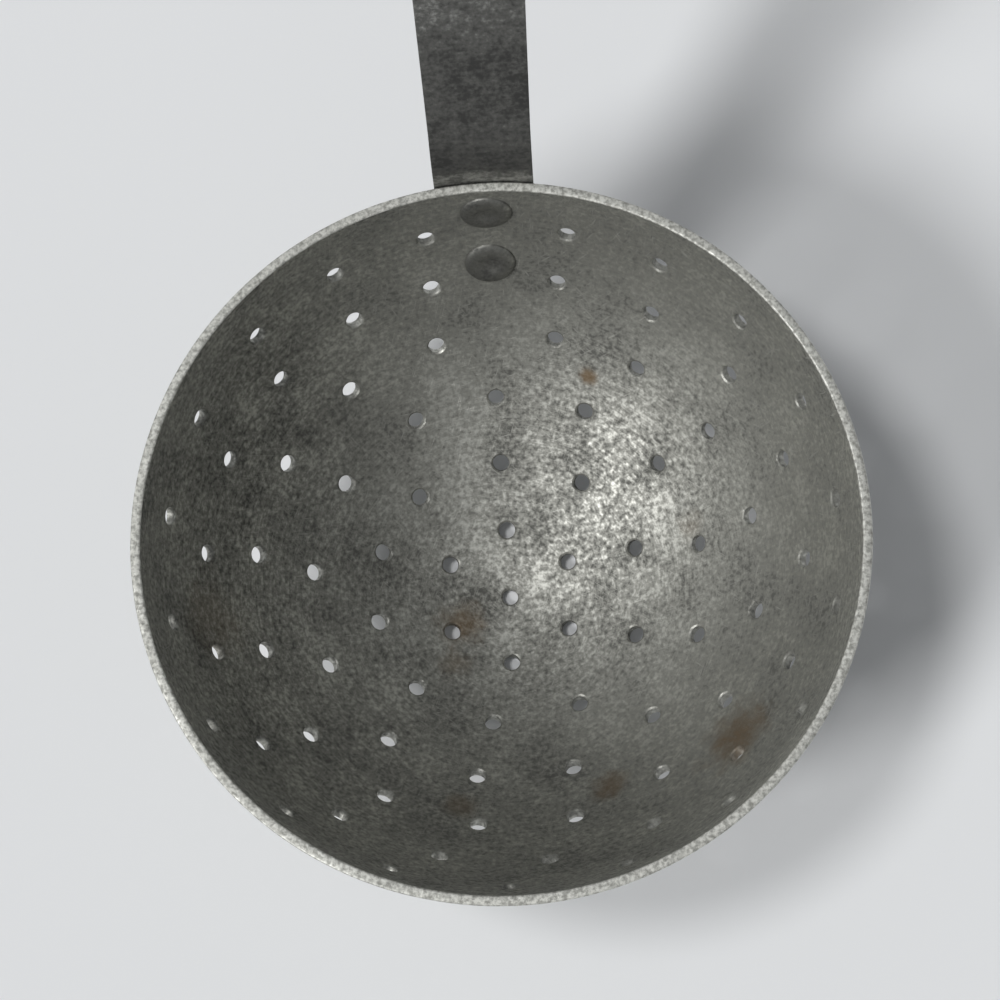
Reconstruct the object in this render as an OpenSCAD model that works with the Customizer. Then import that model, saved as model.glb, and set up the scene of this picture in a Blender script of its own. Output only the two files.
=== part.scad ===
/*
Perforated ladle: a spun bowl with a punched wall, carried by a flat strap that is
riveted to the outside of the bowl under the rim. All sizes are in millimetres.

The origin is the lowest point of the bowl's outside, on the bowl's axis. +Z runs up
the axis to the open mouth, +Y points to the handle, and X runs across the handle.
The bowl is a cap of a ball. A tilt is an angle at the ball's centre, measured from
straight down. A bearing is an angle about the axis, measured clockwise from the
handle by someone who looks into the bowl.
*/

/* [Bowl] */
// Outside diameter of the bowl at the rim
rim_d = 150; // [130:1:200]
// Height of the bowl's outside, from its lowest point to the rim
bowl_h = 68; // [56:1:74]
// Thickness of the bowl's wall
wall = 2; // [1.5:0.1:3]

/* [Perforations] */
// Diameter of one punched hole
hole_d = 3.7; // [2.5:0.1:5]
// Least land between the strap's edge and a hole beside it
strap_land = 1; // [0.5:0.1:3]
// Holes in each of the three inner rings, ring 1 to ring 3
holes_inner = [6, 10, 13]; // [4:1:18]
// Holes in each of the three outer rings, which leave a wide step at the handle
holes_outer = [16, 18, 19]; // [8:1:28]
// Bearing of the first hole in ring 1 to ring 3
first_inner = [0, -1, -1]; // [-20:1:20]
// Bearing of the first hole in ring 4 to ring 6
first_outer = [12, 13, 14]; // [8:1:30]
// Bearing of the last hole in ring 1 to ring 3
last_inner = [301, 320, 334]; // [280:1:335]
// Bearing of the last hole in ring 4 to ring 6
last_outer = [346, 350, 349]; // [330:1:352]
// How far the middle holes of ring 1 to ring 3 run ahead of even steps, in degrees
bow_inner = [1, 11, -3]; // [-12:1:12]
// The same for ring 4 to ring 6
bow_outer = [-1, 3, 0]; // [-12:1:12]
// How far the steps of ring 1 to ring 3 open in the first half and close in the second
sway_inner = [1, -4, 0]; // [-6:1:6]
// The same for ring 4 to ring 6
sway_outer = [1, -2, -4]; // [-6:1:6]

/* [Handle strap] */
// Width of the strap where it is riveted on
strap_w = 20.8; // [16:0.2:24]
// Width of the strap at the hanging end
grip_w = 26; // [22:0.5:34]
// Thickness of the strap
strap_t = 3; // [2:0.1:4]
// Length from the bend to the hanging end
handle_len = 200; // [120:5:300]
// Slope of the handle above the plane of the rim
handle_slope = 62; // [45:1:75]
// Radius of the bend above the rim, on its hollow side
bend_r = 40; // [15:1:60]
// Diameter of the hanging hole
hang_d = 8; // [5:0.5:12]
// Metal left between the hanging hole and the strap's end
hang_land = 7; // [5:0.5:12]

/* [Rivets] */
// Diameter of the rivets' shanks
rivet_d = 6; // [4:0.2:7]
// Diameter of the hammered heads inside the bowl
inner_head_d = 11.3; // [9:0.1:13]
// Thickness of the inner heads at their middle
inner_head_t = 1.3; // [0.8:0.1:2]
// Diameter of the round heads outside
outer_head_d = 11; // [9:0.1:13]
// Height of the round heads outside
outer_head_t = 2.6; // [1.5:0.1:4]
// Distance down the bowl's outside from the rim to the upper rivet
rivet_drop = 9; // [8:0.5:12]
// Distance along the bowl's outside from the upper rivet to the lower one
rivet_pitch = 17.5; // [15:0.5:21]
// Room between a shank and the holes that it fills
rivet_clear = 0.02; // [0.01:0.01:0.1]

/* [Hidden] */
$fn = 120;

// A cut or an outline runs past what it trims by this much
past = 1;

// The ball that the bowl is cut from, outside and inside, and the tilt at the rim
ball_r = (pow(rim_d / 2, 2) + pow(bowl_h, 2)) / (2 * bowl_h);
ball_in_r = ball_r - wall;
rim_tilt = acos((ball_r - bowl_h) / ball_r);

// The rings, inner ones first, stand at even steps from the bottom to the rim
holes = concat(holes_inner, holes_outer);
firsts = concat(first_inner, first_outer);
lasts = concat(last_inner, last_outer);
bows = concat(bow_inner, bow_outer);
sways = concat(sway_inner, sway_outer);
ring_step = rim_tilt / (len(holes) + 1);

// Tilts of the two rivets, which also set where the strap's tab ends
upper_tilt = rim_tilt - rivet_drop / ball_r * 180 / PI;
lower_tilt = upper_tilt - rivet_pitch / ball_r * 180 / PI;

// The strap's inner face is dished this deep, so that it hugs the bowl to its edges
dish_spare = 0.08;
dish = pow(strap_w, 2) / (8 * ball_r) + dish_spare;
back_r = ball_r - dish + strap_t;

// The tab follows the bowl in small straight steps, from past its round end to the rim
tab_steps = 12;
tab_start = lower_tilt - (strap_w / 2 + past) / ball_r * 180 / PI;
tab_tilts = [for (i = [0 : tab_steps - 1]) tab_start + (rim_tilt - tab_start) * i / tab_steps];

// The bend starts at the rim and turns the strap to the handle's slope, about an axis
// outside the strap, in small straight steps
bend_axis_r = back_r + bend_r;
bend_axis = [bend_axis_r * sin(rim_tilt), ball_r - bend_axis_r * cos(rim_tilt)];
bend_steps = 8;
handle_dir = [cos(handle_slope), sin(handle_slope)];
handle_start = bend_axis + (bend_r + strap_t) * [-sin(handle_slope), cos(handle_slope)];

// Where the lower rivet lies on the handle's own line, before the handle's start
low_s = ([ball_r * sin(lower_tilt), ball_r - ball_r * cos(lower_tilt)] - handle_start) * handle_dir;

// The handle's outline: two straight sides that touch the round end
end_r = grip_w / 2;
end_s = handle_len - end_r;
side_turn = asin(end_r / norm([end_s, strap_w / 2])) - atan2(strap_w / 2, end_s);
hang_s = handle_len - hang_land - hang_d / 2;

// Bearing of hole i in ring k, both counted from 0. The holes were set out by eye, so
// the steps between them drift.
function drift_bearing(k, i) =
    let (u = i / (holes[k] - 1))
    firsts[k] + (lasts[k] - firsts[k]) * u + bows[k] * sin(180 * u) + sways[k] * sin(360 * u);

// Least bearing at which a hole in ring k is clear of the strap
function clear_bearing(k) =
    asin((strap_w / 2 + strap_land + hole_d / 2) / (ball_in_r * sin(ring_step * (k + 1))));

// The outer rings reach the strap, so their first and last holes keep clear of it
function hole_bearing(k, i) =
    k < len(holes_inner)
        ? drift_bearing(k, i)
        : min(max(drift_bearing(k, i), clear_bearing(k)), 360 - clear_bearing(k));

// A point [Y, Z] at a radius about the ball's centre
function tab_point(r, tilt) = [r * sin(tilt), ball_r - r * cos(tilt)];

// A point [Y, Z] on the bend, at a radius about its axis, after some of its steps
function bend_point(r, steps) =
    let (tilt = rim_tilt + (handle_slope - rim_tilt) * steps / bend_steps)
    bend_axis + r * [-sin(tilt), cos(tilt)];

// Children move to the ball's centre, with their +Z turned down and out along a
// tilt towards a bearing
module along(tilt, bearing = 0) {
    translate([0, 0, ball_r])
        rotate([0, 0, -bearing])
            rotate([180 + tilt, 0, 0])
                children();
}

// A drill along the local axis, through the wall and the tab
module drill(d) {
    translate([0, 0, ball_in_r - past])
        cylinder(d = d, h = back_r - ball_in_r + 2 * past, $fn = 48);
}

module ball(r) {
    translate([0, 0, ball_r])
        sphere(r = r, $fn = 180);
}

// Children stay below the rim's plane
module below_rim() {
    intersection() {
        children();
        translate([-rim_d, -rim_d, -past])
            cube([2 * rim_d, 2 * rim_d, bowl_h + past]);
    }
}

module rivet_drills() {
    for (tilt = [upper_tilt, lower_tilt])
        along(tilt)
            drill(rivet_d + 2 * rivet_clear);
}

module perforations() {
    along(0)
        drill(hole_d);
    for (k = [0 : len(holes) - 1])
        for (i = [0 : holes[k] - 1])
            along(ring_step * (k + 1), hole_bearing(k, i))
                drill(hole_d);
}

module bowl() {
    color([0.46, 0.46, 0.43])
        difference() {
            below_rim()
                ball(ball_r);
            ball(ball_in_r);
            perforations();
            rivet_drills();
        }
}

// The strap from the side: the tab, the bend and the straight handle. Its inner
// edge runs inside the ball as far as the rim, and the ball is cut away from it later.
module side_outline() {
    polygon(concat(
        [for (tilt = tab_tilts) tab_point(ball_r - dish, tilt)],
        [for (i = [0 : bend_steps]) bend_point(bend_r + strap_t, i)],
        [bend_point(bend_r + strap_t, bend_steps) + (handle_len + past) * handle_dir],
        [bend_point(bend_r, bend_steps) + (handle_len + past) * handle_dir],
        [for (i = [bend_steps : -1 : 0]) bend_point(bend_r, i)],
        [for (i = [len(tab_tilts) - 1 : -1 : 0]) tab_point(back_r, tab_tilts[i])]
    ));
}

module side_slab() {
    rotate([90, 0, 90])
        linear_extrude(max(strap_w, grip_w) + 2 * past, center = true)
            side_outline();
}

// The strap from the back: round about the lower rivet, the strap's own width up to
// the bend, then two straight sides that touch the round hanging end
module back_outline() {
    translate([low_s, 0])
        circle(d = strap_w);
    polygon([
        [low_s, -strap_w / 2],
        [0, -strap_w / 2],
        [end_s - end_r * sin(side_turn), -end_r * cos(side_turn)],
        [end_s - end_r * sin(side_turn), end_r * cos(side_turn)],
        [0, strap_w / 2],
        [low_s, strap_w / 2],
    ]);
    translate([end_s, 0])
        circle(r = end_r);
}

// Children stand on the end of the bend: +X along the handle, +Y across it and +Z
// out through its back
module at_handle() {
    translate([0, bend_axis[0], bend_axis[1]])
        rotate([180 + handle_slope, 0, 0])
            translate([0, 0, -bend_r - strap_t])
                rotate([0, 0, -90])
                    children();
}

module handle_strap() {
    color([0.42, 0.42, 0.39])
        difference() {
            intersection() {
                difference() {
                    side_slab();
                    ball(ball_r);
                }
                at_handle()
                    linear_extrude(2 * bend_axis_r, center = true)
                        back_outline();
            }
            rivet_drills();
            at_handle()
                translate([hang_s, 0, -past])
                    cylinder(d = hang_d, h = strap_t + 2 * past, $fn = 64);
        }
}

// A low hammered head that lies on the inside of the wall
module inner_head() {
    intersection() {
        translate([0, 0, ball_in_r - inner_head_t])
            cylinder(d = inner_head_d, h = inner_head_t, $fn = 72);
        sphere(r = ball_in_r, $fn = 180);
    }
}

// A round head on the back of the tab, which is cut to the tab's own outer face
module outer_head(tilt) {
    dome_r = (pow(outer_head_d / 2, 2) + pow(outer_head_t, 2)) / (2 * outer_head_t);
    difference() {
        along(tilt)
            intersection() {
                translate([0, 0, back_r - past])
                    cylinder(d = outer_head_d, h = outer_head_t + past, $fn = 72);
                translate([0, 0, back_r + outer_head_t - dome_r])
                    sphere(r = dome_r, $fn = 96);
            }
        side_slab();
    }
}

module rivet(tilt) {
    color([0.5, 0.5, 0.47]) {
        outer_head(tilt);
        along(tilt) {
            inner_head();
            translate([0, 0, ball_in_r - inner_head_t / 2])
                cylinder(
                    d = rivet_d,
                    h = back_r - ball_in_r + (inner_head_t + outer_head_t) / 2,
                    $fn = 48
                );
        }
    }
}

module upper_rivet() {
    rivet(upper_tilt);
}

module lower_rivet() {
    rivet(lower_tilt);
}

bowl();
handle_strap();
upper_rivet();
lower_rivet();
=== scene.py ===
# %% [markdown]
# This notebook dresses an old aluminium ladle with a punched bowl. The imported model
# brings four solids in metres: the bowl, the strap that is its handle, and two rivets.
# +Z is up, +Y points to the handle, and the origin is the lowest point of the bowl.
# Nothing here moves or resizes them. Each solid gets a finer mesh that stands in its
# place, because the real edges are rounded, worn and hammered, and the solids are not.

# %% Load the frame
import math

import bmesh
import bpy
from mathutils import Matrix, Vector


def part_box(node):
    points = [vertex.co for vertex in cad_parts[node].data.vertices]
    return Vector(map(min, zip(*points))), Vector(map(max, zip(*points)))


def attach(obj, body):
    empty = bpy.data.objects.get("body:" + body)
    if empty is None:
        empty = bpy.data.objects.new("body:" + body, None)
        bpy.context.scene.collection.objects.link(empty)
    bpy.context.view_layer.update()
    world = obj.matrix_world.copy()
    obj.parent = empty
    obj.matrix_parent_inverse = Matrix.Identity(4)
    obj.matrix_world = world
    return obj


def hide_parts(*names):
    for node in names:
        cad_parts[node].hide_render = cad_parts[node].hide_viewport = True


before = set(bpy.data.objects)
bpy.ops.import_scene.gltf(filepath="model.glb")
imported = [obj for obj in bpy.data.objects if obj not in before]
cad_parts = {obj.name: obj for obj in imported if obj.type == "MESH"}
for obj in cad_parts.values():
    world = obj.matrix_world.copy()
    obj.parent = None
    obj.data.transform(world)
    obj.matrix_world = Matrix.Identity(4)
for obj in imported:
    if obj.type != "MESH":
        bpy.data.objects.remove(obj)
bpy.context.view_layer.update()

MM = 0.001
print("solids:", sorted(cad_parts))

# %% [markdown]
# A photograph of a round thing gives its camera away. The rim shows as an ellipse, and
# the rings of holes slide towards one side of it. Both were matched to a bowl of this
# size, which put the camera half a metre up, a little to the near side of the bowl's
# axis, with a long lens. The camera is turned by three directions that stand square to
# each other, because a roll is easier to read as "which way is up in the picture".

# %% Camera
lens_length = 86.4
sensor_width = 36.0
camera_spot = Vector((12.6, -111.8, 537.6)) * MM
camera_target = Vector((0.4, 6.3, 68.0)) * MM
camera_up = Vector((0.054, 1.0, 0.25))


def put_in_scene(name, data):
    """A new object of that name and data, linked to the scene."""
    thing = bpy.data.objects.new(name, data)
    bpy.context.scene.collection.objects.link(thing)
    return thing


def aim(thing, spot, target, up=Vector((0, 0, 1))):
    """Stands a camera or a lamp at a spot and points its -Z at a target."""
    forward = (target - spot).normalized()
    right = forward.cross(up).normalized()
    placed = Matrix((right, right.cross(forward), -forward)).transposed().to_4x4()
    placed.translation = spot
    thing.matrix_world = placed


camera_data = bpy.data.cameras.new("photo_camera")
camera_data.lens = lens_length
camera_data.sensor_width = sensor_width
camera_data.clip_start = 0.01
camera = put_in_scene("photo_camera", camera_data)
aim(camera, camera_spot, camera_target, camera_up)
bpy.context.scene.camera = camera
print("camera height over the floor:", round(camera_spot.z, 3), "m")

# %% [markdown]
# Every tree in this notebook, for geometry or for a finish, is written with one small
# helper. It adds a node, feeds its inputs by name or by number, and returns the node,
# so a tree reads from top to bottom like a list of steps. Feeding an input with a
# socket draws a link, and feeding it with a number sets the number.

# %% A helper that writes node trees


class Tree:
    """Writes a node tree one node at a time."""

    def __init__(self, tree):
        self.tree = tree

    def add(self, kind, inputs=None, **settings):
        """One node with its settings and inputs. An input's value may be a socket."""
        node = self.tree.nodes.new(kind)
        for name, value in settings.items():
            setattr(node, name, value)
        for name, value in (inputs or {}).items():
            self.feed(node.inputs[name], value)
        return node

    def feed(self, socket, value):
        """Links a socket to an input, or sets the input's number."""
        if isinstance(value, bpy.types.NodeSocket):
            self.tree.links.new(value, socket)
        else:
            socket.default_value = value

    def math(self, operation, first, second=0.0, third=0.0):
        """One sum on numbers. Returns its result."""
        node = self.add("ShaderNodeMath", {0: first, 1: second}, operation=operation)
        if operation in ("MULTIPLY_ADD", "WRAP", "COMPARE", "SMOOTH_MAX"):
            self.feed(node.inputs[2], third)
        return node.outputs[0]

    def vector(self, operation, first, second=(0.0, 0.0, 0.0)):
        """One sum on vectors. Returns its vector."""
        return self.add("ShaderNodeVectorMath", {0: first, 1: second}, operation=operation).outputs[0]

    def length(self, vector):
        """How long a vector is."""
        return self.add("ShaderNodeVectorMath", {0: vector}, operation="LENGTH").outputs["Value"]

    def times(self, vector, amount):
        """A vector made longer or shorter by a number."""
        node = self.add("ShaderNodeVectorMath", {0: vector, "Scale": amount}, operation="SCALE")
        return node.outputs[0]

    def noise(self, vector, size, detail=2.0, rough=0.5, seed=0.0):
        """Soft noise between 0 and 1 whose lumps are about this size, in the vector's own unit."""
        return self.add(
            "ShaderNodeTexNoise",
            {"Vector": vector, "W": seed, "Scale": 1 / size, "Detail": detail, "Roughness": rough},
            noise_dimensions="4D",
        ).outputs[0]

    def fade(self, value, start, end, low=0.0, high=1.0):
        """Goes smoothly from low to high while the value goes from start to end."""
        return self.add(
            "ShaderNodeMapRange",
            {"Value": value, "From Min": start, "From Max": end, "To Min": low, "To Max": high},
            interpolation_type="SMOOTHSTEP",
        ).outputs[0]


def new_geometry_tree(name, inputs):
    """An empty geometry tree with a mesh in, named sizes in, and a mesh out."""
    tree = bpy.data.node_groups.new(name, "GeometryNodeTree")
    tree.interface.new_socket("Mesh", in_out="INPUT", socket_type="NodeSocketGeometry")
    for label, (kind, value) in inputs.items():
        tree.interface.new_socket(label, in_out="INPUT", socket_type=kind).default_value = value
    tree.interface.new_socket("Mesh", in_out="OUTPUT", socket_type="NodeSocketGeometry")
    writer = Tree(tree)
    sizes = writer.add("NodeGroupInput").outputs
    return writer, sizes


def close_tree(writer, mesh):
    """Sends a mesh to the tree's output."""
    writer.add("NodeGroupOutput", {"Mesh": mesh})
    return writer.tree


def grow(thing, tree, **values):
    """Puts a geometry tree on an object, with these sizes in its named inputs."""
    modifier = thing.modifiers.new(tree.name, "NODES")
    modifier.node_group = tree
    for item in tree.interface.items_tree:
        label = item.name.replace(" ", "_").lower()
        if item.in_out == "INPUT" and label in values:
            modifier[item.identifier] = values[label]
    return thing


def settle(thing):
    """Turns the object's evaluated shape into its own plain mesh and drops its modifiers."""
    evaluated = thing.evaluated_get(bpy.context.evaluated_depsgraph_get())
    mesh = bpy.data.meshes.new_from_object(evaluated)
    thing.modifiers.clear()
    thing.data = mesh
    mesh.name = thing.name
    return thing


FLOAT, COUNT = "NodeSocketFloat", "NodeSocketInt"
print("the tree helper is ready")

# %% [markdown]
# Turned and spun things are made from half a section: a line from the axis, round the
# outside and back to the axis. Blender's Screw modifier would do it, but a tree can do
# the same sum with inputs of its own, and then carry on with the punching. The tree
# below lays a flat grid with a column for each point of the half section and a row for
# each step around. Every grid point looks up its column's point in the section and is
# turned about the axis by its row's angle. Merging by distance then closes the seam and
# both poles, so the skin has no hole. A grid laid this way faces the axis, so the faces
# are flipped at the end to point outwards.

# %% The lathe
close_enough = 0.001 * MM


def make_lathe():
    """A group that turns a half section, drawn in X and Z, about the Z axis."""
    tree, size = new_geometry_tree("lathe", {"Steps Around": (COUNT, 64)})
    points = tree.add("GeometryNodeAttributeDomainSize", {0: size["Mesh"]}).outputs["Point Count"]
    columns = tree.math("SUBTRACT", points, 1.0)
    grid = tree.add("GeometryNodeMeshGrid", {
        "Size X": columns,
        "Size Y": 1.0,
        "Vertices X": points,
        "Vertices Y": tree.math("ADD", size["Steps Around"], 1.0),
    }).outputs["Mesh"]
    place = tree.add("GeometryNodeInputPosition").outputs[0]
    split = tree.add("ShaderNodeSeparateXYZ", {0: place}).outputs
    column = tree.math("ROUND", tree.math("MULTIPLY_ADD", columns, 0.5, split["X"]))
    angle = tree.math("MULTIPLY", tree.math("ADD", split["Y"], 0.5), math.tau)
    found = tree.add(
        "GeometryNodeSampleIndex",
        {"Geometry": size["Mesh"], "Value": place, "Index": column},
        data_type="FLOAT_VECTOR",
    ).outputs[0]
    turned = tree.add(
        "ShaderNodeVectorRotate", {"Vector": found, "Angle": angle}, rotation_type="Z_AXIS"
    ).outputs[0]
    moved = tree.add("GeometryNodeSetPosition", {"Geometry": grid, "Position": turned}).outputs[0]
    closed = tree.add("GeometryNodeMergeByDistance", {0: moved, "Distance": close_enough}).outputs[0]
    outwards = tree.add("GeometryNodeFlipFaces", {0: closed}).outputs[0]
    return close_tree(tree, outwards)


def half_section(name, points):
    """An object that holds only a line of points (radius, height) beside the Z axis."""
    mesh = bpy.data.meshes.new(name)
    corners = [(radius, 0.0, height) for radius, height in points]
    mesh.from_pydata(corners, [(i, i + 1) for i in range(len(corners) - 1)], [])
    return put_in_scene(name, mesh)


def arc(centre, radius, start, end, steps):
    """Points (radius, height) on an arc. Angles are in degrees from the outward direction."""
    turns = [math.radians(start + (end - start) * i / steps) for i in range(steps + 1)]
    return [(centre[0] + radius * math.cos(a), centre[1] + radius * math.sin(a)) for a in turns]


lathe = make_lathe()
print("lathe nodes:", len(lathe.nodes))

# %% [markdown]
# The bowl was spun or pressed from thick sheet, so its wall is the same everywhere and
# its rim is simply the cut edge of the sheet, with the corners worn round. Its sizes
# come from the solid: half its width is the rim's radius, and the radius and the height
# give the ball that it is a cap of. A rounding that is too small can't catch the light,
# and one that is too big makes the edge look like plastic, so it is set to what the
# photograph shows, a bright line a few tenths of a millimetre wide.

# %% The bowl's half section
bowl_low, bowl_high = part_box("bowl")
rim_radius = (bowl_high.x - bowl_low.x) / 2
bowl_height = bowl_high.z
wall = 2.0 * MM
rim_rounding = 0.4 * MM
wall_steps = 72
rounding_steps = 5

ball_radius = (rim_radius ** 2 + bowl_height ** 2) / (2 * bowl_height)
ball_centre = Vector((0, 0, ball_radius))
rim_tilt = math.acos((ball_radius - bowl_height) / ball_radius)


def wall_arc(radius):
    """The wall's line at this ball radius, from the lowest point up to the rim's rounding."""
    top = math.asin((bowl_height - rim_rounding - ball_radius) / radius)
    return arc((0, ball_radius), radius, -90, math.degrees(top), wall_steps)


def bowl_section():
    """The whole half section, from the axis up the outside, over the rim and back."""
    outside = wall_arc(ball_radius)
    inside = wall_arc(ball_radius - wall)
    height = bowl_height - rim_rounding
    outer = (outside[-1][0] - rim_rounding, height)
    inner = (inside[-1][0] + rim_rounding, height)
    corners = [
        *arc(outer, rim_rounding, 0, 90, rounding_steps)[1:],
        *arc(inner, rim_rounding, 90, 180, rounding_steps)[:-1],
    ]
    return outside + corners + inside[::-1]


section = bowl_section()
print("ball radius:", round(ball_radius / MM, 2), "mm; points in the half section:", len(section))

# %% [markdown]
# The holes were punched by hand and set out by eye. They stand on a centre point and
# six rings at even tilts, but the steps within a ring drift. Placing 83 holes one by one
# would freeze them. A rule with a few numbers for each ring keeps them editable: how
# many holes, the bearings of the first and the last, how far the middle of the ring runs
# ahead, and how the steps open and close. Bearings run clockwise from the handle. The
# outer rings stop short of the strap, so their first and last holes keep clear of it.

# %% Where the holes go
hole_width = 3.7 * MM
strap_width = 20.8 * MM
strap_land = 1.0 * MM
# Each ring's count, first and last bearing, bow and sway, from the centre outwards
hole_rings = [
    (1, 0, 0, 0, 0),
    (6, 0, 301, 1, 1),
    (10, -1, 320, 11, -4),
    (13, -1, 334, -3, 0),
    (16, 12, 346, -1, 1),
    (18, 13, 350, 3, -2),
    (19, 14, 349, 0, -4),
]
first_ring_by_strap = 4


def make_hole_ring():
    """A group that sets out the holes of one ring as points on the middle of the wall."""
    degrees = ("First", "Last", "Bow", "Sway", "Clear", "Tilt")
    sizes = {"Count": (COUNT, 6), "Radius": (FLOAT, 0.07), **{d: (FLOAT, 0.0) for d in degrees}}
    tree, size = new_geometry_tree("hole_ring", sizes)
    index = tree.add("GeometryNodeInputIndex").outputs[0]
    share = tree.math("DIVIDE", index, tree.math("SUBTRACT", size["Count"], 1.0))
    around = tree.math("MULTIPLY", share, math.tau)
    whole = tree.math("SUBTRACT", size["Last"], size["First"])
    even = tree.math("MULTIPLY_ADD", whole, share, size["First"])
    half_wave = tree.math("SINE", tree.math("MULTIPLY", around, 0.5))
    bowed = tree.math("MULTIPLY_ADD", size["Bow"], half_wave, even)
    drifted = tree.math("MULTIPLY_ADD", size["Sway"], tree.math("SINE", around), bowed)
    after = tree.math("MAXIMUM", drifted, size["Clear"])
    before = tree.math("SUBTRACT", math.tau, size["Clear"])
    bearing = tree.math("MINIMUM", after, before)
    flat = tree.math("SINE", size["Tilt"])
    direction = tree.add("ShaderNodeCombineXYZ", {
        "X": tree.math("MULTIPLY", flat, tree.math("SINE", bearing)),
        "Y": tree.math("MULTIPLY", flat, tree.math("COSINE", bearing)),
        "Z": tree.math("MULTIPLY", tree.math("COSINE", size["Tilt"]), -1.0),
    }).outputs[0]
    place = tree.times(direction, size["Radius"])
    points = tree.add("GeometryNodePoints", {"Count": size["Count"], "Position": place}).outputs[0]
    return close_tree(tree, points)


def clear_bearing(tilt):
    """The least bearing at which a hole at this tilt misses the strap behind the wall."""
    reach = strap_width / 2 + strap_land + hole_width / 2
    return math.asin(reach / ((ball_radius - wall) * math.sin(tilt)))


hole_ring = make_hole_ring()
print("holes:", sum(ring[0] for ring in hole_rings))

# %% [markdown]
# A punch leaves a hole whose edges are pulled in and then worn smooth. Cutting with a
# plain cylinder gives a knife edge that looks computed. So the tool that cuts is shaped
# like a spool: straight inside the wall, and flaring where it meets the two faces. One
# spool is made once and stands on every point, turned to face away from the ball's
# centre, and a single Boolean cuts them all. The random widths have a fixed seed.

# %% The punch
punch_sides = 28
punch_steps = 10
punch_spare = 0.3 * MM


def make_punch():
    """A group that gives one spool-shaped cutter about the Z axis."""
    sizes = {"Width": (FLOAT, hole_width), "Wall": (FLOAT, wall), "Lip": (FLOAT, 0.3 * MM)}
    tree, size = new_geometry_tree("punch", sizes)
    radius = tree.math("MULTIPLY", size["Width"], 0.5)
    depth = tree.math("ADD", size["Wall"], 2 * punch_spare)
    plain = tree.add("GeometryNodeMeshCylinder", {
        "Vertices": punch_sides,
        "Side Segments": punch_steps,
        "Radius": radius,
        "Depth": depth,
    }).outputs["Mesh"]
    place = tree.add("GeometryNodeInputPosition").outputs[0]
    split = tree.add("ShaderNodeSeparateXYZ", {0: place}).outputs
    height = tree.math("ABSOLUTE", split["Z"])
    straight = tree.math("MULTIPLY_ADD", size["Wall"], 0.5, tree.math("MULTIPLY", size["Lip"], -1.0))
    past = tree.math("MAXIMUM", tree.math("SUBTRACT", height, straight), 0.0)
    share = tree.math("DIVIDE", past, size["Lip"])
    flare = tree.math("MULTIPLY", tree.math("MULTIPLY", share, share), size["Lip"])
    wider = tree.math("ADD", tree.math("DIVIDE", flare, radius), 1.0)
    spread = tree.add("ShaderNodeCombineXYZ", {"X": wider, "Y": wider, "Z": 1.0}).outputs[0]
    shaped = tree.vector("MULTIPLY", place, spread)
    spool = tree.add("GeometryNodeSetPosition", {"Geometry": plain, "Position": shaped}).outputs[0]
    return close_tree(tree, spool)


punch = make_punch()
print("faces of one punch:", punch_sides * punch_steps + 2)

# %% [markdown]
# Now the whole bowl is one tree: turn the half section, set out the rings, cut them,
# and dent the result. A bowl that has been knocked about for years isn't a perfect
# ball, and metal shows it at once, because its reflections bend. The dents read only
# the direction from the ball's centre, so the inside and the outside of the wall move
# together and the wall keeps its thickness. They only push inwards, which keeps the
# bowl within the solid's box. Edges that turn sharply stay sharp in the shading.

# %% The bowl's tree
steps_around = 256
sharp_turn = math.radians(20)


def add_dents(tree, mesh, centre, lumps):
    """Pushes a mesh towards a centre by soft noise. Lumps are (size, depth, seed)."""
    place = tree.add("GeometryNodeInputPosition").outputs[0]
    outward = tree.vector("NORMALIZE", tree.vector("SUBTRACT", place, centre))
    total = 0.0
    for size, depth, seed in lumps:
        lump = tree.noise(outward, size, detail=1.0, seed=seed)
        total = tree.math("MULTIPLY_ADD", lump, depth, total)
    inward = tree.times(outward, tree.math("MULTIPLY", total, -1.0))
    return tree.add("GeometryNodeSetPosition", {"Geometry": mesh, "Offset": inward}).outputs[0]


def add_shading(tree, mesh, material):
    """Smooth faces, sharp edges where the surface turns sharply, and the material."""
    smooth = tree.add("GeometryNodeSetShadeSmooth", {0: mesh, "Shade Smooth": True}, domain="FACE")
    turn = tree.add("GeometryNodeInputMeshEdgeAngle").outputs["Unsigned Angle"]
    sharp = tree.math("GREATER_THAN", turn, sharp_turn)
    edged = tree.add(
        "GeometryNodeSetShadeSmooth",
        {0: smooth.outputs[0], "Selection": sharp, "Shade Smooth": False},
        domain="EDGE",
    )
    real = tree.add("GeometryNodeRealizeInstances", {0: edged.outputs[0]}).outputs[0]
    return tree.add("GeometryNodeSetMaterial", {0: real, "Material": material}).outputs[0]


def add_group(tree, group, inputs):
    """Another tree as one node of this one, fed by name. Returns its mesh."""
    node = tree.add("GeometryNodeGroup", None, node_tree=group)
    for name, value in inputs.items():
        tree.feed(node.inputs[name], value)
    return node.outputs["Mesh"]


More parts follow.
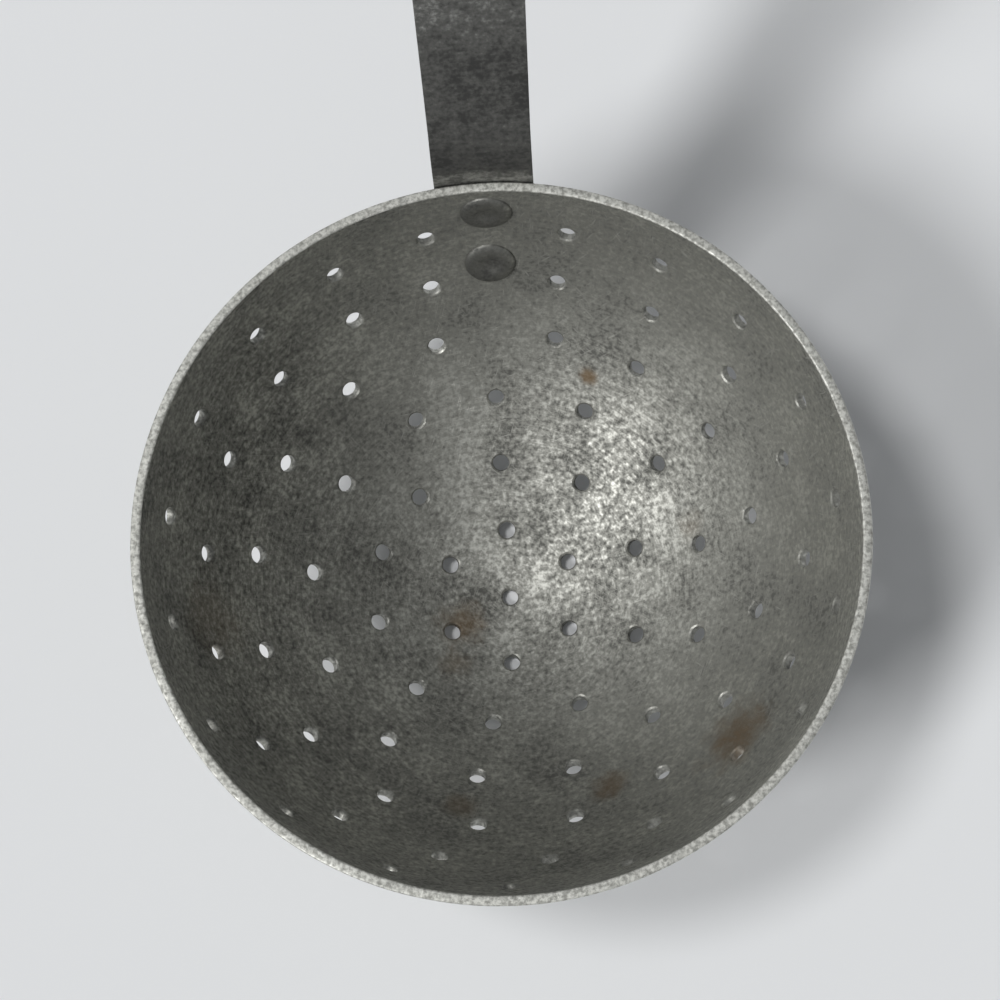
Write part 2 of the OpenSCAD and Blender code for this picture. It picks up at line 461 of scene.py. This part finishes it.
def make_bowl_tree(material):
    """Turns, punches and dents the bowl. Its input is the bowl's half section."""
    tree, size = new_geometry_tree("spun_and_punched_bowl", {
        "Steps Around": (COUNT, steps_around),
        "Ball Radius": (FLOAT, ball_radius),
        "Wall": (FLOAT, wall),
        "Hole Width": (FLOAT, hole_width),
        "Lip": (FLOAT, 0.3 * MM),
    })
    spun = add_group(tree, lathe, {"Mesh": size["Mesh"], "Steps Around": size["Steps Around"]})
    middle = tree.math("MULTIPLY_ADD", size["Wall"], -0.5, size["Ball Radius"])
    marks = tree.add("GeometryNodeJoinGeometry")
    for ring, (count, first, last, bow, sway) in enumerate(hole_rings):
        tilt = rim_tilt * ring / len(hole_rings)
        clear = clear_bearing(tilt) if ring >= first_ring_by_strap else -math.tau
        names = ("First", "Last", "Bow", "Sway")
        turns = dict(zip(names, map(math.radians, (first, last, bow, sway))))
        ring_points = add_group(tree, hole_ring, {
            "Count": count, "Radius": middle, "Tilt": tilt, "Clear": clear, **turns,
        })
        tree.tree.links.new(ring_points, marks.inputs[0])
    spool = add_group(tree, punch, {
        "Width": size["Hole Width"], "Wall": size["Wall"], "Lip": size["Lip"],
    })
    place = tree.add("GeometryNodeInputPosition").outputs[0]
    facing = tree.add("FunctionNodeAlignRotationToVector", {"Vector": place}, axis="Z").outputs[0]
    width = tree.add("FunctionNodeRandomValue", {2: 0.97, 3: 1.03, "Seed": 7}).outputs[1]
    spread = tree.add("ShaderNodeCombineXYZ", {"X": width, "Y": width, "Z": 1.0}).outputs[0]
    punches = tree.add("GeometryNodeInstanceOnPoints", {
        "Points": marks.outputs[0], "Instance": spool, "Rotation": facing, "Scale": spread,
    }).outputs[0]
    centre = tree.add("ShaderNodeCombineXYZ", {"Z": size["Ball Radius"]}).outputs[0]
    in_place = tree.add("GeometryNodeTransform", {0: punches, "Translation": centre}).outputs[0]
    solid = tree.add("GeometryNodeRealizeInstances", {0: in_place}).outputs[0]
    cut = tree.add(
        "GeometryNodeMeshBoolean", {0: spun, 1: solid}, operation="DIFFERENCE", solver="MANIFOLD"
    ).outputs[0]
    dented = add_dents(tree, cut, centre, [(0.9, 0.30 * MM, 1.0), (0.12, 0.06 * MM, 2.0)])
    return close_tree(tree, add_shading(tree, dented, material))


print("the bowl's tree is ready to be given a material")

# %% [markdown]
# Old aluminium is three things at once. Under everything is a soft metal that
# reflects broadly, not like a mirror. On it sits a thin skin of oxide that is darker and
# duller, in specks about a millimetre across and in wider clouds. Over both run scars:
# the circles that spinning and scouring left, and straight scratches from spoons. A
# picture of such a surface would repeat or stretch, so each layer is a noise of a known
# size in millimetres, read from the object's own coordinates.

# %% Layers of old aluminium


def new_material(name):
    """A material with an empty tree, its writer, its surface shader and its place in mm."""
    material = bpy.data.materials.new(name)
    material.use_nodes = True
    tree = Tree(material.node_tree)
    tree.tree.nodes.clear()
    shader = tree.add("ShaderNodeBsdfPrincipled")
    tree.add("ShaderNodeOutputMaterial", {"Surface": shader.outputs[0]})
    place = tree.add("ShaderNodeTexCoord").outputs["Object"]
    return material, tree, shader, tree.times(place, 1 / MM)


def mix(tree, share, first, second, blend="MIX"):
    """Goes from the first colour to the second one by a share."""
    node = tree.add(
        "ShaderNodeMix", {0: share, 6: first, 7: second}, data_type="RGBA", blend_type=blend
    )
    return node.outputs[2]


def ball_place(tree, place):
    """Where a point lies on the ball, in mm: its way from the lowest point and its circle."""
    from_centre = tree.vector("SUBTRACT", place, tuple(ball_centre / MM))
    split = tree.add("ShaderNodeSeparateXYZ", {0: tree.vector("NORMALIZE", from_centre)}).outputs
    tilt = tree.math("ARCCOSINE", tree.math("MULTIPLY", split["Z"], -1.0))
    way = tree.math("MULTIPLY", tilt, ball_radius / MM)
    flat = tree.add("ShaderNodeCombineXYZ", {"X": split["X"], "Y": split["Y"]}).outputs[0]
    return way, tree.vector("NORMALIZE", flat)


def circle_lines(tree, way, around, spacing, per_turn, seed):
    """Streaks that run in circles round the bowl, this far apart."""
    stretched = tree.times(around, per_turn / math.tau)
    split = tree.add("ShaderNodeSeparateXYZ", {0: stretched}).outputs
    across = tree.math("DIVIDE", way, spacing)
    lines = tree.add("ShaderNodeCombineXYZ", {"X": across, "Y": split["X"], "Z": split["Y"]})
    return tree.noise(lines.outputs[0], 1.0, detail=2.0, rough=0.6, seed=seed)


def scratch_lines(tree, place, turn, width, length, seed):
    """Thin straight scratches in one direction, 1 in a scratch and 0 beside it."""
    turned = tree.add(
        "ShaderNodeVectorRotate", {"Vector": place, "Angle": turn}, rotation_type="Z_AXIS"
    ).outputs[0]
    stretched = tree.vector("DIVIDE", turned, (width, length, length))
    return tree.fade(tree.noise(stretched, 1.0, detail=0.0, seed=seed), 0.70, 0.78)


print("ball radius for the circles:", round(ball_radius / MM, 1), "mm")

# %% [markdown]
# Food has left a few brown stains inside the bowl. The cut edge at the rim is a pitted
# band of wear, and its top is painted pale, a painted reflection of the light from above. A
# stain is a soft round patch about a point of the wall with a ragged edge, so a stain
# needs only its bearing, its tilt and its size. The outside gets the same skin, because
# it is the same sheet, and a large stain shows there too, where it passes for tarnish.

# %% The bowl's finish
# Each stain's bearing and tilt in degrees, its radius in mm and its strength
stains = [
    (24, 43, 3.5, 0.75),
    (130, 57, 13.0, 0.65),
    (157, 44, 6.5, 0.55),
    (242, 10, 8.0, 0.55),
    (220, 16, 6.0, 0.35),
    (194, 44, 6.0, 0.35),
    (262, 60, 14.0, 0.25),
    (75, 36, 5.0, 0.20),
]
skin_dark = (0.115, 0.115, 0.105, 1.0)
skin_mid = (0.30, 0.30, 0.275, 1.0)
metal_pale = (0.56, 0.56, 0.52, 1.0)
stain_brown = (0.17, 0.105, 0.045, 1.0)


def ball_point(bearing, tilt, radius):
    """A point at this bearing and tilt, in degrees, at a radius about the ball's centre."""
    b, t = math.radians(bearing), math.radians(tilt)
    across = radius * math.sin(t)
    return Vector((across * math.sin(b), across * math.cos(b), ball_radius - radius * math.cos(t)))


def add_stains(tree, place, colour):
    """Brown patches on the inner face."""
    ragged = tree.noise(place, 4.0, detail=4.0, rough=0.65, seed=21.0)
    for bearing, tilt, size, strength in stains:
        spot = ball_point(bearing, tilt, ball_radius - wall) / MM
        away = tree.length(tree.vector("SUBTRACT", place, tuple(spot)))
        reach = tree.math("MULTIPLY_ADD", ragged, size * 1.2, tree.math("MULTIPLY", away, -1.0))
        patch = tree.fade(reach, -0.3 * size, 0.5 * size, 0.0, strength)
        colour = mix(tree, patch, colour, stain_brown)
    return colour


def make_bowl_metal():
    """The bowl's skin: clouds, specks, circles, scratches, stains, and the rim's pits with a painted
    reflection on its top.
    """
    material, tree, shader, place = new_material("bowl_aluminium")
    way, around = ball_place(tree, place)
    specks = tree.noise(place, 1.1, detail=4.0, rough=0.62, seed=1.0)
    clouds = tree.noise(place, 14.0, detail=3.0, rough=0.55, seed=2.0)
    circles = circle_lines(tree, way, around, 0.35, 60.0, 3.0)
    level = tree.math("MULTIPLY_ADD", tree.math("SUBTRACT", specks, 0.5), 1.9, clouds)
    level = tree.math("MULTIPLY_ADD", tree.math("SUBTRACT", circles, 0.5), 0.5, level)
    low = mix(tree, tree.fade(level, 0.10, 0.52), skin_dark, skin_mid)
    colour = mix(tree, tree.fade(level, 0.45, 0.95), low, metal_pale)
    scars = 0.0
    for turn, seed in ((0.4, 31.0), (1.35, 32.0), (2.3, 33.0)):
        scars = tree.math("MAXIMUM", scars, scratch_lines(tree, place, turn, 0.16, 3.5, seed))
    colour = mix(tree, tree.math("MULTIPLY", scars, 0.45), colour, metal_pale)
    colour = add_stains(tree, place, colour)
    height = tree.add("ShaderNodeSeparateXYZ", {0: place}).outputs["Z"]
    # The rim's top is painted pale by its height: the pits are wear, the paleness is a painted reflection
    # of the light from above.
    edge = tree.fade(height, (bowl_height - 0.45 * MM) / MM, (bowl_height - 0.25 * MM) / MM)
    pits = tree.fade(tree.noise(place, 1.0, detail=3.0, rough=0.7, seed=4.0), 0.35, 0.62)
    rim_pits_and_painted_reflection = mix(tree, pits, skin_mid, (0.66, 0.66, 0.62, 1.0))
    tree.feed(shader.inputs["Base Color"], mix(tree, edge, colour, rim_pits_and_painted_reflection))
    dull = tree.fade(level, 0.95, 0.15, 0.50, 0.74)
    tree.feed(shader.inputs["Roughness"], dull)
    tree.feed(shader.inputs["Metallic"], tree.fade(level, 0.10, 0.60, 0.55, 0.95))
    relief = tree.math("MULTIPLY_ADD", circles, 0.35, specks)
    relief = tree.math("MULTIPLY_ADD", scars, -0.35, relief)
    bump = tree.add("ShaderNodeBump", {"Height": relief, "Distance": 0.05 * MM, "Strength": 0.8})
    tree.feed(shader.inputs["Normal"], bump.outputs[0])
    return material


bowl_metal = make_bowl_metal()
bowl = half_section("bowl_shell", section)
bowl_tree = make_bowl_tree(bowl_metal)
grow(bowl, bowl_tree, wall=wall, ball_radius=ball_radius, hole_width=hole_width)
settle(bowl)
print("bowl faces:", len(bowl.data.polygons))

# %% [markdown]
# The strap is one flat bar, cut out flat, drilled, and then beaten to shape over the
# bowl. It is made here in the same order. The blank is a grid whose two ends are pulled
# into half circles, so it has no long thin faces. Solidify gives it its thickness and
# Bevel rounds its edges, which on this bar are worn almost half round. Bending comes
# last: a function says where each point of the flat blank goes.

# %% The strap's blank
strap_thickness = 3.0 * MM
grip_width = 26.0 * MM
handle_length = 200.0 * MM
handle_slope = math.radians(62)
bend_radius = 40.0 * MM
dish = strap_width ** 2 / (8 * ball_radius) + 0.08 * MM
edge_rounding = 1.25 * MM
hang_width = 8.0 * MM
hang_land = 7.0 * MM

tab_radius = ball_radius - dish
back_radius = tab_radius + strap_thickness
upper_tilt = rim_tilt - 9.0 * MM / ball_radius
lower_tilt = upper_tilt - 17.5 * MM / ball_radius
tab_end_tilt = lower_tilt - strap_width / 2 / tab_radius
tab_length = (rim_tilt - tab_end_tilt) * tab_radius
inner_bend = bend_radius + strap_thickness
bend_length = (rim_tilt - handle_slope) * inner_bend
blank_length = tab_length + bend_length + handle_length
columns = 22
end_rows = 10


def blank_half_width(along):
    """Half the blank's width: even over the tab and the bend, then widening to the grip."""
    start = tab_length + bend_length
    share = max(0.0, (along - start) / (handle_length - grip_width / 2))
    return (strap_width + (grip_width - strap_width) * min(share, 1.0)) / 2


def blank_rows():
    """Rows of points (across, along) of the flat blank, one list for each row."""
    low_centre = strap_width / 2
    high_centre = blank_length - grip_width / 2
    shares = [2 * i / columns - 1 for i in range(columns + 1)]

    def round_end(centre, radius, side):
        """The rows of one half-round end, from its middle line to its tip."""
        rows = []
        for row in range(1, end_rows + 1):
            v = row / end_rows
            across = [u * math.sqrt(1 - v * v / 2) * radius for u in shares]
            along = [centre + side * v * math.sqrt(1 - u * u / 2) * radius for u in shares]
            rows.append(list(zip(across, along)))
        return rows

    rows = round_end(low_centre, strap_width / 2, -1)[::-1]
    along = low_centre
    while along < high_centre:
        rows.append([(u * blank_half_width(along), along) for u in shares])
        along += (0.9 if along < tab_length + bend_length else 2.5) * MM
    rows.append([(u * grip_width / 2, high_centre) for u in shares])
    return rows + round_end(high_centre, grip_width / 2, 1)


def make_blank():
    """The flat blank as a sheet of quads in X (across) and Y (along)."""
    rows = blank_rows()
    wide = columns + 1
    points = [(across, along, 0.0) for row in rows for across, along in row]
    faces = [
        (r * wide + c, r * wide + c + 1, (r + 1) * wide + c + 1, (r + 1) * wide + c)
        for r in range(len(rows) - 1)
        for c in range(columns)
    ]
    mesh = bpy.data.meshes.new("strap")
    mesh.from_pydata(points, [], faces)
    return put_in_scene("strap", mesh)


strap = make_blank()
print("blank length:", round(blank_length / MM, 1), "mm; faces:", len(strap.data.polygons))

# %% [markdown]
# The hanging hole is cut by the same punch as the bowl's holes, only wider: a group is
# worth writing once it is used twice. The tree cuts the thick blank while it still lies
# flat, so the punch needs no turning.

# %% Thickness, rounded edges and the hanging hole
hang_place = blank_length - hang_land - hang_width / 2


def make_hang_hole_tree():
    """Cuts one hole through a flat blank."""
    tree, size = new_geometry_tree("hanging_hole", {
        "Width": (FLOAT, hang_width),
        "Along": (FLOAT, hang_place),
        "Thickness": (FLOAT, strap_thickness),
    })
    spool = add_group(tree, punch, {
        "Width": size["Width"], "Wall": size["Thickness"], "Lip": 0.6 * MM,
    })
    middle = tree.math("MULTIPLY", size["Thickness"], 0.5)
    spot = tree.add("ShaderNodeCombineXYZ", {"Y": size["Along"], "Z": middle}).outputs[0]
    placed = tree.add("GeometryNodeTransform", {0: spool, "Translation": spot}).outputs[0]
    cut = tree.add(
        "GeometryNodeMeshBoolean", {0: size["Mesh"], 1: placed}, operation="DIFFERENCE", solver="MANIFOLD"
    ).outputs[0]
    return close_tree(tree, cut)


thick = strap.modifiers.new("thickness", "SOLIDIFY")
thick.thickness = strap_thickness
thick.offset = 1.0
rounded = strap.modifiers.new("rounded_edges", "BEVEL")
rounded.width = edge_rounding
rounded.segments = 5
rounded.limit_method = "ANGLE"
rounded.angle_limit = math.radians(60)
grow(strap, make_hang_hole_tree(), width=hang_width, along=hang_place)
settle(strap)
depths = [v.co.z for v in strap.data.vertices]
print("blank thickness:", round(min(depths) / MM, 2), "to", round(max(depths) / MM, 2), "mm")

# %% [markdown]
# Bending is a sum on each point. Along the tab the blank follows the bowl, then it turns
# outwards about an axis behind it, then it runs straight. A flat bar would cut into the
# round bowl, so wherever the bar's face would lie inside the ball it is pushed out to
# the ball's surface, and its back follows. That is what a hammer does, and it draws the
# arched edge that shows on the strap just above the rim.

# %% Bending the strap
soft_edge = 0.05 * MM


def foot_and_back(along):
    """The middle line's point (Y, Z) and the direction through the bar to its back."""
    tilt = tab_end_tilt + min(along, tab_length) / tab_radius
    past_tab = max(0.0, along - tab_length)
    tilt -= min(past_tab, bend_length) / inner_bend
    back = Vector((math.sin(tilt), -math.cos(tilt)))
    if past_tab == 0.0:
        return Vector((0, ball_radius)) + back * tab_radius, back
    rim_back = Vector((math.sin(rim_tilt), -math.cos(rim_tilt)))
    axis = Vector((0, ball_radius)) + rim_back * (tab_radius + inner_bend)
    straight = max(0.0, past_tab - bend_length)
    run = Vector((-back.y, back.x))
    return axis - back * inner_bend + run * straight, back


def bent(point):
    """Where a point of the flat blank (across, along, depth) ends up."""
    across, along, depth = point
    foot, back = foot_and_back(along)
    face = Vector((across, foot.x, foot.y))
    inside = ball_radius - (face - ball_centre).length
    pushed = (inside + math.hypot(inside, soft_edge)) / 2
    return face + Vector((0, back.x, back.y)) * (pushed + depth)


for vertex in strap.data.vertices:
    vertex.co = bent(vertex.co)
strap.data.update()
print("strap reaches", round(max(v.co.z for v in strap.data.vertices) / MM, 1), "mm high")

# %% [markdown]
# The strap is darker and duller than the bowl. Its skin is blotched at the grip, more
# even lower down, and rubbed bright where it was beaten over the bowl just above the
# rim. All of this depends on how far up the strap a point lies, which the height alone
# says well enough, because the strap rises all the way.

# %% The strap's finish


def shade_smooth(thing, material, sharp=math.radians(40)):
    """Smooth shading with sharp edges above an angle, and one material."""
    thing.data.materials.clear()
    thing.data.materials.append(material)
    work = bmesh.new()
    work.from_mesh(thing.data)
    bmesh.ops.recalc_face_normals(work, faces=work.faces)
    for face in work.faces:
        face.smooth = True
    for edge in work.edges:
        edge.smooth = edge.calc_face_angle(0.0) < sharp
    work.to_mesh(thing.data)
    work.free()


def make_strap_metal():
    """The strap's skin: blotches, specks, dragged streaks and the rubbed arch."""
    material, tree, shader, place = new_material("handle_aluminium")
    split = tree.add("ShaderNodeSeparateXYZ", {0: place}).outputs
    height = split["Z"]
    specks = tree.noise(place, 0.9, detail=4.0, rough=0.65, seed=11.0)
    blotches = tree.noise(place, 2.6, detail=3.0, rough=0.6, seed=12.0)
    clouds = tree.noise(place, 18.0, detail=2.0, seed=13.0)
    streaked = tree.noise(tree.vector("DIVIDE", place, (5.0, 1.0, 1.0)), 1.0, detail=3.0, seed=14.0)
    rim_height = bowl_height / MM
    high = tree.fade(height, rim_height + 18.0, rim_height + 45.0)
    level = tree.math("MULTIPLY_ADD", tree.math("SUBTRACT", blotches, 0.5), 0.9, clouds)
    level = tree.math("MULTIPLY_ADD", tree.math("SUBTRACT", specks, 0.5), 1.1, level)
    dragged = tree.math("MULTIPLY", tree.math("SUBTRACT", streaked, 0.5), 0.5)
    level = tree.math("ADD", level, dragged)
    level = tree.math("ADD", level, tree.math("MULTIPLY_ADD", high, 0.22, -0.10))
    rubbed = tree.fade(height, rim_height + 7.5, rim_height + 3.0)
    above = tree.fade(height, rim_height - 2.0, rim_height)
    arch = tree.math("MULTIPLY", rubbed, above)
    level = tree.math("MULTIPLY_ADD", arch, 0.30, level)
    low = mix(tree, tree.fade(level, 0.15, 0.60), (0.045, 0.045, 0.043, 1.0), (0.15, 0.15, 0.142, 1.0))
    colour = mix(tree, tree.fade(level, 0.55, 1.05), low, (0.42, 0.42, 0.40, 1.0))
    tree.feed(shader.inputs["Base Color"], colour)
    tree.feed(shader.inputs["Roughness"], tree.fade(level, 0.95, 0.15, 0.46, 0.72))
    tree.feed(shader.inputs["Metallic"], tree.fade(level, 0.10, 0.60, 0.5, 0.92))
    bump = tree.add("ShaderNodeBump", {"Height": level, "Distance": 0.05 * MM, "Strength": 0.7})
    tree.feed(shader.inputs["Normal"], bump.outputs[0])
    return material


shade_smooth(strap, make_strap_metal())
print("strap faces:", len(strap.data.polygons))

# %% [markdown]
# A rivet is a turned thing too, so it goes through the same lathe: a low head inside the
# bowl, the shank, and a round head on the strap's back. The heads inside the bowl were
# set with a cupped punch, which left a shallow hollow in each and a steep edge. Nobody
# strikes twice alike, so the tree dents each rivet with its own seed. Both rivets come
# from one tree, because only their tilt and their dents differ.

# %% The rivets
shank_radius = 3.0 * MM
inner_head_radius = 5.6 * MM
outer_head_radius = 5.45 * MM
outer_head_height = 2.55 * MM
head_base = ball_radius - wall
strap_back = ball_radius + strap_thickness


def rivet_section():
    """Half a rivet beside its axis. Height is the distance from the ball's centre."""
    hollow = [(r * MM, head_base - h * MM) for r, h in (
        (0.0, 0.78), (0.7, 0.80), (1.4, 0.88), (2.0, 1.02), (2.5, 1.14), (3.0, 1.20),
        (3.6, 1.20), (4.2, 1.15), (4.7, 1.06), (5.1, 0.92), (5.38, 0.74), (5.53, 0.50),
        (5.6, 0.22), (5.6, -0.15),
    )]
    dome_radius = (outer_head_radius ** 2 + outer_head_height ** 2) / (2 * outer_head_height)
    low = strap_back + outer_head_height - dome_radius
    edge = math.asin(outer_head_radius / dome_radius)
    dome_steps = 12
    turns = [edge * (1 - i / dome_steps) for i in range(dome_steps + 1)]
    dome = [(dome_radius * math.sin(t), low + dome_radius * math.cos(t)) for t in turns]
    under = [(outer_head_radius, strap_back - 0.35 * MM)]
    shank = [(shank_radius, head_base + 0.3 * MM), (shank_radius, strap_back - 0.35 * MM)]
    return hollow + shank + under + dome


def make_rivet_tree(material):
    """Turns a rivet, dents it, and stands it in the wall at a tilt."""
    tree, size = new_geometry_tree("rivet", {
        "Steps Around": (COUNT, 72),
        "Tilt": (FLOAT, 1.0),
        "Dent Depth": (FLOAT, 0.12 * MM),
        "Seed": (FLOAT, 1.0),
    })
    turned = add_group(tree, lathe, {"Mesh": size["Mesh"], "Steps Around": size["Steps Around"]})
    place = tree.add("GeometryNodeInputPosition").outputs[0]
    lump = tree.add(
        "ShaderNodeTexNoise",
        {"Vector": place, "W": size["Seed"], "Scale": 1 / (3.2 * MM), "Detail": 2.0},
        noise_dimensions="4D",
    ).outputs["Color"]
    centred = tree.vector("SUBTRACT", lump, (0.5, 0.5, 0.5))
    push = tree.times(centred, tree.math("MULTIPLY", size["Dent Depth"], 2.0))
    dented = tree.add("GeometryNodeSetPosition", {"Geometry": turned, "Offset": push}).outputs[0]
    turn = tree.add("ShaderNodeCombineXYZ", {"X": tree.math("ADD", size["Tilt"], math.pi)}).outputs[0]
    stood = tree.add("GeometryNodeTransform", {
        0: dented, "Rotation": turn, "Translation": (0.0, 0.0, ball_radius),
    }).outputs[0]
    return close_tree(tree, add_shading(tree, stood, material))


def make_rivet_metal():
    """The rivets' skin: dark, with worn high spots."""
    material, tree, shader, place = new_material("rivet_aluminium")
    specks = tree.noise(place, 0.8, detail=4.0, rough=0.65, seed=41.0)
    clouds = tree.noise(place, 4.0, detail=2.0, seed=42.0)
    level = tree.math("MULTIPLY_ADD", tree.math("SUBTRACT", specks, 0.5), 1.2, clouds)
    low = mix(tree, tree.fade(level, 0.15, 0.60), (0.07, 0.07, 0.066, 1.0), (0.22, 0.22, 0.205, 1.0))
    colour = mix(tree, tree.fade(level, 0.55, 1.0), low, (0.48, 0.48, 0.45, 1.0))
    tree.feed(shader.inputs["Base Color"], colour)
    tree.feed(shader.inputs["Roughness"], tree.fade(level, 0.95, 0.15, 0.42, 0.66))
    tree.feed(shader.inputs["Metallic"], tree.fade(level, 0.10, 0.60, 0.6, 0.95))
    bump = tree.add("ShaderNodeBump", {"Height": level, "Distance": 0.04 * MM, "Strength": 0.6})
    tree.feed(shader.inputs["Normal"], bump.outputs[0])
    return material


rivet_tree = make_rivet_tree(make_rivet_metal())
rivets = {}
for name, tilt, seed in (("upper", upper_tilt, 5.0), ("lower", lower_tilt, 8.0)):
    rivets[name] = half_section(name + "_rivet_body", rivet_section())
    grow(rivets[name], rivet_tree, tilt=tilt, seed=seed)
    settle(rivets[name])
    print(name, "rivet faces:", len(rivets[name].data.polygons))

# %% [markdown]
# The floor is one plain pale sheet, wider than the camera sees. The light has to explain
# the photograph: the highlight inside the bowl sits up and to the right, and a hollow
# mirror puts it there when the lamp stands to the lower left. A second, higher lamp
# from the left makes the shadow on the right. Both are suns with a wide face, so their
# shadows are soft and the floor is evenly lit however far it runs. The world is pale
# at the horizon, like the walls of a studio, and dimmer overhead.

# %% Floor, lamps and world
floor_size = 6.0
floor_pale = (0.78, 0.79, 0.80, 1.0)


def make_floor():
    """A pale matt sheet with the faintest unevenness."""
    material, tree, shader, place = new_material("pale_floor")
    uneven = tree.noise(place, 160.0, detail=2.0, seed=51.0)
    dimmer = tuple(c * 0.97 for c in floor_pale[:3]) + (1.0,)
    tree.feed(shader.inputs["Base Color"], mix(tree, uneven, dimmer, floor_pale))
    shader.inputs["Roughness"].default_value = 0.8
    shader.inputs["Specular IOR Level"].default_value = 0.2
    mesh = bpy.data.meshes.new("floor")
    half = floor_size / 2
    corners = [(-half, -half, 0), (half, -half, 0), (half, half, 0), (-half, half, 0)]
    mesh.from_pydata(corners, [], [(0, 1, 2, 3)])
    mesh.materials.append(material)
    floor = put_in_scene("floor", mesh)


def make_sun(name, towards_lamp, strength, face):
    """A lamp far away in a direction. Its face is how wide it looks, in degrees."""
    data = bpy.data.lights.new(name, "SUN")
    data.energy = strength
    data.angle = math.radians(face)
    lamp = put_in_scene(name, data)
    aim(lamp, Vector(towards_lamp).normalized(), Vector((0, 0, 0)))


def make_world():
    """Pale at the horizon, dimmer overhead."""
    world = bpy.data.worlds.new("studio")
    world.use_nodes = True
    bpy.context.scene.world = world
    tree = Tree(world.node_tree)
    tree.tree.nodes.clear()
    place = tree.add("ShaderNodeTexCoord").outputs["Generated"]
    up = tree.add("ShaderNodeSeparateXYZ", {0: place}).outputs["Z"]
    overhead = tree.fade(up, 0.10, 0.45)
    colour = mix(tree, overhead, (0.90, 0.91, 0.93, 1.0), (0.20, 0.205, 0.21, 1.0))
    glow = tree.add("ShaderNodeBackground", {"Color": colour, "Strength": 1.0})
    tree.add("ShaderNodeOutputWorld", {"Surface": glow.outputs[0]})


make_floor()
make_sun("key_lamp", (-0.60, -0.42, 0.70), 1.7, 16)
make_sun("high_lamp", (-0.42, 0.02, 1.0), 1.0, 12)
make_world()
bpy.context.scene.view_settings.view_transform = "Standard"

# %% [markdown]
# Last, each mesh is tied to the imported model: it rides on the one body, and it stands for
# its own solid.

# %% Tie the pieces to the frame
pieces = {
    "bowl": (bowl, "bowl_aluminium"),
    "handle_strap": (strap, "handle_aluminium"),
    "upper_rivet": (rivets["upper"], "rivet_aluminium"),
    "lower_rivet": (rivets["lower"], "rivet_aluminium"),
}
for node, (piece, slot) in pieces.items():
    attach(piece, "root")
    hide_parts(node)
